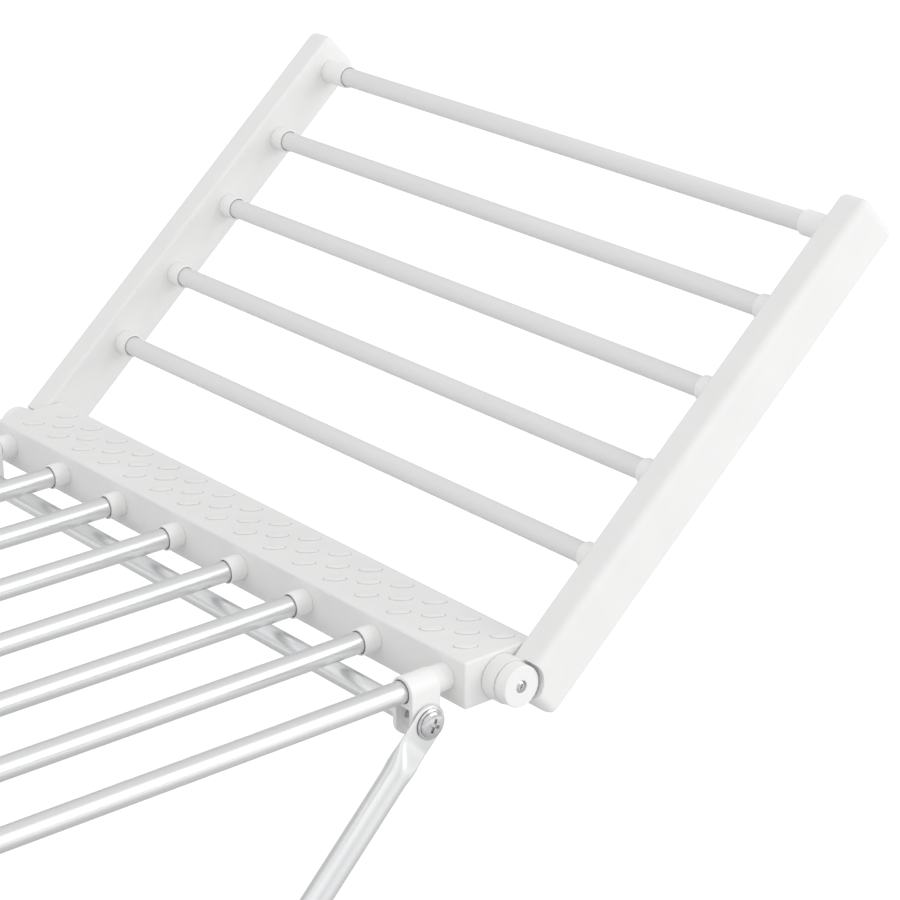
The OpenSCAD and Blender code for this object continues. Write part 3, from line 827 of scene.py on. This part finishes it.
TAB_T = 2.8 * MM              # thickness of a tube's flattened top end
TAB_LEN = 22 * MM
TAB_FLAT = 0.86               # share of the flattened width that is flat
TIP_THIN = 0.5                # the rounded tip's thickness starts at this share of the tab's
TIP_HALF_W = 0.6 * MM         # and its half width at this
TIP_STEPS = 10
TAPER_LEN = 24 * MM
TAPER_START = 0.62            # where the taper starts, as a share of the tab's length
TAPER_FADE = 1.15             # how quickly the flats narrow along the taper
TAPER_STEPS = 16
OUTER_END_R = 11 * MM
INNER_END_R = 10 * MM
PIVOT_HOLE_R = 4.05 * MM
TOP_BAR_HOLE_R = 2.95 * MM
TUBE_STOP = 10 * MM           # a leg tube ends this far above the foot bar's axis, in its foot
HOLE_REACH = 10 * MM          # a hole's cut runs this far to each side of its tube's middle


def leg_ring(half_w, half_t, flat, z):
    """Flattened tube section: flat faces joined by elliptical sides."""
    ring = []
    quarter = AROUND // 4
    for corner, (sx, sy) in enumerate(((1, 1), (-1, 1), (-1, -1), (1, -1))):
        for k in range(quarter):
            a = math.pi / 2 * k / quarter
            if corner % 2:
                a = math.pi / 2 - a
            x = flat + (half_w - flat) * math.cos(a)
            y = half_t * math.sin(a)
            ring.append(Vector((sx * x, sy * y, z)))
    return ring


def leg_tube(length, end_r, leg_r, hole_r):
    """Leg tube with a flattened round top end, its top axis at the origin, running down -Z."""
    half_tab = TAB_T / 2
    stations = []
    for k in range(TIP_STEPS):
        a = math.pi / 2 * k / TIP_STEPS
        half_w = max(end_r * math.sin(a), TIP_HALF_W)
        half_t = half_tab * min(1, TIP_THIN + k / TIP_STEPS)
        stations.append((end_r * math.cos(a), half_w, half_t, TAB_FLAT))
    stations += [(0, end_r, half_tab, TAB_FLAT), (-end_r, end_r, half_tab, TAB_FLAT)]
    for k in range(TAPER_STEPS + 1):
        t = k / TAPER_STEPS
        ease = t * t * (3 - 2 * t)
        half_w = end_r + (leg_r - end_r) * ease
        half_t = half_tab + (leg_r - half_tab) * math.sin(math.pi / 2 * ease)
        z = -TAB_LEN * TAPER_START - TAPER_LEN * t
        stations.append((z, half_w, half_t, TAB_FLAT * (1 - t) ** TAPER_FADE))
    stations.append((-length + TUBE_STOP, leg_r, leg_r, 0))
    rings = [leg_ring(w, t, w * flat, z) for z, w, t, flat in stations]
    tube = Shape().grid(rings).build("leg", LEG_CRISP)
    hole = cylinder_tool((0, -HOLE_REACH, 0), (0, 1, 0), hole_r, 2 * HOLE_REACH)
    return combine(tube, hole, "DIFFERENCE")


def make_legs():
    for name, top, end_r, hole_r in (("outer", PIVOT, OUTER_END_R, PIVOT_HOLE_R),
                                     ("inner", middle("inner_top_bar"), INNER_END_R, TOP_BAR_HOLE_R)):
        node = f"{name}_leg_tubes"
        foot = middle(f"{name}_foot_bar")
        top = Vector((top.x, 0, top.z))
        run = Vector((foot.x, 0, foot.z)) - top
        leg_r = extent(f"{name}_foot_bar").z / 2
        across = corners_of(node)[1].y - leg_r
        tube = leg_tube(run.length, end_r, leg_r, hole_r)
        lean = math.atan2(-run.x, -run.z)
        place = Matrix.Translation(top + Vector((0, across, 0))) @ Matrix.Rotation(lean, 4, "Y")
        pair = [copy_of(tube, f"leg_{name}_{i}", mirror_matrix(False, flip) @ place)
                for i, flip in enumerate((False, True))]
        bpy.data.objects.remove(tube)
        legs = join(pair, f"leg_pair_{name}")
        smooth(legs, LEG_CRISP)
        settle(legs, f"{name}_legs", LEG, [node])


# ---------------------------------------------------------------- screws, washers, bolts

DOME_STEPS = 8
DOME_CRISP = 28               # as CRISP, for domed screws
HEAD_CHAMFER = 0.3 * MM       # a domed head's rim draws in this much at its foot
HEAD_FOOT = 0.12              # within this share of its height

PIVOT_HEAD_R = 7.8 * MM
PIVOT_STRAIGHT = 0.25         # share of a head's height below its dome
PIVOT_SHOULDER_R = 4 * MM
PIVOT_SHOULDER_LEN = 14 * MM
PLUG_THREAD_R = 2.9 * MM
PLUG_DEPTH = 14 * MM          # how far the pivot's thread goes into its plug

WASHER_R = 9.3 * MM
WASHER_TOP_R = 8.4 * MM
WASHER_T = 1.2 * MM
WASHER_RIM = WASHER_T * 0.7   # height at which its edge starts to slope in
WASHER_LIP = 0.25 * MM

CROSSING_HEAD_R = 6.5 * MM
CROSSING_HEAD_H = 3 * MM
CROSSING_STRAIGHT = 0.3
CROSSING_BOLT_R = 3 * MM
NUT_H = 3.4 * MM
SPACER_BORE_R = 3.05 * MM
SPACER_GAP = 0.3 * MM
SPACER_LIP = 0.5 * MM

TOP_BAR_HEAD_R = 6 * MM
TOP_BAR_HEAD_H = 2.4 * MM
TOP_BAR_STRAIGHT = 0.3
TOP_BAR_SHANK_LEN = 14 * MM


def domed_profile(shank, head_r, head_h, straight):
    """Outline of a screw from tip to crown. The shank's points run up to the head's foot, at 0."""
    turns = [math.pi / 2 * k / DOME_STEPS for k in range(DOME_STEPS)]
    rise = 1 - straight
    dome = [(head_r * math.cos(a), head_h * (straight + rise * math.sin(a))) for a in turns]
    rim = [(head_r - HEAD_CHAMFER, 0), (head_r, head_h * HEAD_FOOT)]
    return [(CORE_R, shank[0][1])] + shank + rim + dome + [(CORE_R, head_h)]


def settle_screws(parts, name, body, node):
    screws = join(parts, name)
    smooth(screws, DOME_CRISP)
    settle(screws, body, PLATED, [node])


def make_pivot_washers():
    outline = [(PIVOT_HOLE_R, 0), (WASHER_R, 0), (WASHER_R, WASHER_RIM), (WASHER_TOP_R, WASHER_T),
               (PIVOT_HOLE_R, WASHER_T)]
    profile = [tuple(p) for p in fillet(outline, WASHER_LIP, steps=3)]
    seat = far_y("pivot_washers") - WASHER_T
    washers = Shape()
    for sign in (1, -1):
        washers.lathe(profile, (PIVOT.x, sign * seat, PIVOT.z), (0, sign, 0), FINE)
    settle(washers.build("pivot_washer_pair"), "deck", PLATED, ["pivot_washers"])


def make_pivot_screws():
    seat = far_y("pivot_washers")
    head_h = far_y("pivot_screws") - seat
    tip = far_y("axle_plugs") - PLUG_DEPTH - seat
    shank = [(PLUG_THREAD_R, tip), (PLUG_THREAD_R, -PIVOT_SHOULDER_LEN),
             (PIVOT_SHOULDER_R, -PIVOT_SHOULDER_LEN), (PIVOT_SHOULDER_R, 0)]
    profile = domed_profile(shank, PIVOT_HEAD_R, head_h, PIVOT_STRAIGHT)
    parts = [turned_screw(profile, PIVOT.x, seat, PIVOT.z, sign, head_h, PIVOT_RECESS)
             for sign in (1, -1)]
    settle_screws(parts, "pivot_screw_pair", "deck", "pivot_screws")


def make_crossing_bolts():
    seat = far_y("crossing_bolts") - CROSSING_HEAD_H
    tip = far_y("crossing_nuts") - NUT_H - seat
    shank = [(CROSSING_BOLT_R, tip), (CROSSING_BOLT_R, 0)]
    profile = domed_profile(shank, CROSSING_HEAD_R, CROSSING_HEAD_H, CROSSING_STRAIGHT)
    parts = [turned_screw(profile, CROSSING.x, seat, CROSSING.z, sign, CROSSING_HEAD_H, CROSSING_RECESS)
             for sign in (1, -1)]
    settle_screws(parts, "crossing_bolt_pair", "outer_legs", "crossing_bolts")


def make_crossing_spacers():
    near = far_y("inner_leg_tubes") + SPACER_GAP
    radius = extent("crossing_spacers").z / 2
    profile = ring_outline(radius, SPACER_BORE_R, near, far_y("crossing_spacers"), SPACER_LIP)
    spacers = Shape()
    for sign in (1, -1):
        spacers.lathe(profile, (CROSSING.x, 0, CROSSING.z), (0, sign, 0), FINE)
    settle(spacers.build("crossing_spacer_pair"), "outer_legs", NYLON, ["crossing_spacers"])


def make_top_bar_screws():
    seat = far_y("top_bar_screws") - TOP_BAR_HEAD_H
    centre = middle("top_bar_screws")
    shank = [(PLUG_THREAD_R, -TOP_BAR_SHANK_LEN), (PLUG_THREAD_R, 0)]
    profile = domed_profile(shank, TOP_BAR_HEAD_R, TOP_BAR_HEAD_H, TOP_BAR_STRAIGHT)
    parts = [turned_screw(profile, centre.x, seat, centre.z, sign, TOP_BAR_HEAD_H, TOP_BAR_RECESS, AROUND)
             for sign in (1, -1)]
    settle_screws(parts, "top_bar_screw_pair", "inner_legs", "top_bar_screws")


# ---------------------------------------------------------------- CAD nodes that stay


def finish_cad_nodes():
    looks = {"beam_cover_right": WHITE, "beam_cover_left": WHITE, "arm_covers_right": WHITE,
             "arm_covers_left": WHITE, "beam_cover_screws": PLATED, "axle_plugs": NYLON,
             "top_bar_plugs": NYLON, "hinge_spring_washers": SPRING, "crossing_nuts": PLATED}
    for node, material in looks.items():
        obj = frame["nodes"][node]
        for slot_item in obj.material_slots:
            slot_item.material = material


# ---------------------------------------------------------------- floor, light, camera

CAMERA_AZIMUTH = math.radians(-38.78)
CAMERA_ELEVATION = math.radians(21.84)
CAMERA_ROLL = math.radians(-0.85)
CAMERA_DISTANCE = 1.7038
CAMERA_LENS = 122.0
AIM_RIGHT, AIM_UP = -8.18 * MM, 119.4 * MM      # aim point, from the beam's near inner top corner


def camera_axes():
    a, e, r = CAMERA_AZIMUTH, CAMERA_ELEVATION, CAMERA_ROLL
    right = Vector((math.cos(a), math.sin(a), 0))
    ahead = Vector((-math.sin(a) * math.cos(e), math.cos(a) * math.cos(e), -math.sin(e)))
    up = right.cross(ahead)
    return right * math.cos(r) + up * math.sin(r), up * math.cos(r) - right * math.sin(r), ahead


def make_camera():
    right, up, ahead = camera_axes()
    corner = Vector((BEAM_LO.x, -BEAM_END, BEAM_TOP))
    aim = corner + right * AIM_RIGHT + up * AIM_UP
    data = bpy.data.cameras.new("camera")
    data.lens = CAMERA_LENS
    camera = new_object("camera", data)
    turn = Matrix((right, up, -ahead)).transposed()
    camera.matrix_world = Matrix.Translation(aim - ahead * CAMERA_DISTANCE) @ turn.to_4x4()
    bpy.context.scene.camera = camera


FLOOR_HALF = 30.0
FLOOR_TONES = ((0.90, 0.90, 0.90), (0.92, 0.92, 0.92))
FLOOR_ROUGHNESS = 0.9
FLOOR_SPECULAR = 0.1
FLOOR_GLOW = 0.25
BOUNCE = (0.60, 0.98)         # how much the floor throws back near the airer and far from it
BOUNCE_REACH = (0.8, 3.0)     # and where those two hold, in metres from the origin

# Bands of the sky: an axis, the light away from it and along it, and the cosines it grows between
CEILING = ((0, 0, 1), 0.52, 0.84, 0.0, 0.9)
FRONT_GLOW = ((0.50, -0.85, 0.08), 0.0, 0.56, 0.50, 0.96)       # wide soft light before the airer
LEFT_GLOW = ((-1.0, -0.1, 0.25), 0.0, 0.38, 0.20, 0.90)         # paler light on the deck's side

KEY_PLACE = (2.7, -3.0, 2.4)
KEY_SIZE = 2.6
KEY_POWER = 34


def make_floor():
    """Pale floor. Seen directly it is nearly white, and what it throws back on the airer is softer."""
    mesh = bpy.data.meshes.new("floor")
    corners = [(-1, -1), (1, -1), (1, 1), (-1, 1)]
    mesh.from_pydata([(x * FLOOR_HALF, y * FLOOR_HALF, 0) for x, y in corners], [], [(0, 1, 2, 3)])
    floor = new_object("floor", mesh)
    material, tree, shader = node_material("floor")
    place = tree.nodes.new("ShaderNodeTexCoord").outputs["Object"]
    tint(tree, shader, add_noise(tree, place, scale=3, detail=2), *FLOOR_TONES)
    shader.inputs["Roughness"].default_value = FLOOR_ROUGHNESS
    shader.inputs["Specular IOR Level"].default_value = FLOOR_SPECULAR
    shader.inputs["Emission Color"].default_value = (1, 1, 1, 1)
    shader.inputs["Emission Strength"].default_value = FLOOR_GLOW
    bounce = tree.nodes.new("ShaderNodeBsdfDiffuse")
    reach = tree.nodes.new("ShaderNodeVectorMath")
    reach.operation = "LENGTH"
    tree.links.new(place, reach.inputs[0])
    thrown = add_range(tree, reach.outputs["Value"], *BOUNCE, *BOUNCE_REACH)
    tree.links.new(thrown, bounce.inputs["Color"])
    path = tree.nodes.new("ShaderNodeLightPath")
    mix = tree.nodes.new("ShaderNodeMixShader")
    tree.links.new(path.outputs["Is Camera Ray"], mix.inputs["Fac"])
    tree.links.new(bounce.outputs["BSDF"], mix.inputs[1])
    tree.links.new(shader.outputs["BSDF"], mix.inputs[2])
    tree.links.new(mix.outputs["Shader"], tree.nodes["Material Output"].inputs["Surface"])
    mesh.materials.append(material)


def area_light(name, place, target, size, power):
    data = bpy.data.lights.new(name, "AREA")
    data.shape, data.size, data.energy = "DISK", size, power
    light = new_object(name, data)
    light.location = place
    light.rotation_mode = "QUATERNION"
    light.rotation_quaternion = (Vector(target) - Vector(place)).to_track_quat("-Z", "Y")


def sky_band(tree, direction, axis, low, high, from_low, from_high):
    """Light that grows from low to high as a direction turns towards an axis."""
    dot = tree.nodes.new("ShaderNodeVectorMath")
    dot.operation = "DOT_PRODUCT"
    dot.inputs[1].default_value = Vector(axis).normalized()
    tree.links.new(direction, dot.inputs[0])
    return add_range(tree, dot.outputs["Value"], low, high, from_low, from_high, "SMOOTHSTEP")


def math_node(tree, operation, first, second):
    node = tree.nodes.new("ShaderNodeMath")
    node.operation = operation
    tree.links.new(first, node.inputs[0])
    tree.links.new(second, node.inputs[1])
    return node.outputs["Value"]


def make_light():
    """Soft studio. Where the camera sees past the floor the sky is at least plain white."""
    world = bpy.data.worlds.new("studio")
    bpy.context.scene.world = world
    world.use_nodes = True
    tree = world.node_tree
    direction = tree.nodes.new("ShaderNodeTexCoord").outputs["Generated"]
    total = sky_band(tree, direction, *CEILING)
    for band in (FRONT_GLOW, LEFT_GLOW):
        total = math_node(tree, "ADD", total, sky_band(tree, direction, *band))
    seen = tree.nodes.new("ShaderNodeLightPath").outputs["Is Camera Ray"]
    strength = math_node(tree, "MAXIMUM", total, seen)
    tree.links.new(strength, tree.nodes["Background"].inputs["Strength"])
    tree.nodes["Background"].inputs["Color"].default_value = (1, 1, 1, 1)
    area_light("key", KEY_PLACE, (HINGE.x, 0, BEAM_TOP), KEY_SIZE, KEY_POWER)
    bpy.context.scene.view_settings.view_transform = "Standard"


# ---------------------------------------------------------------- the model

make_camera()
make_floor()
make_light()
make_tubes()
make_rail_collars()
make_wing_collars()
make_beams()
make_arms()
make_hinge_caps()
make_hinge_screws()
make_mouldings()
make_legs()
make_pivot_washers()
make_pivot_screws()
make_crossing_bolts()
make_crossing_spacers()
make_top_bar_screws()
finish_cad_nodes()
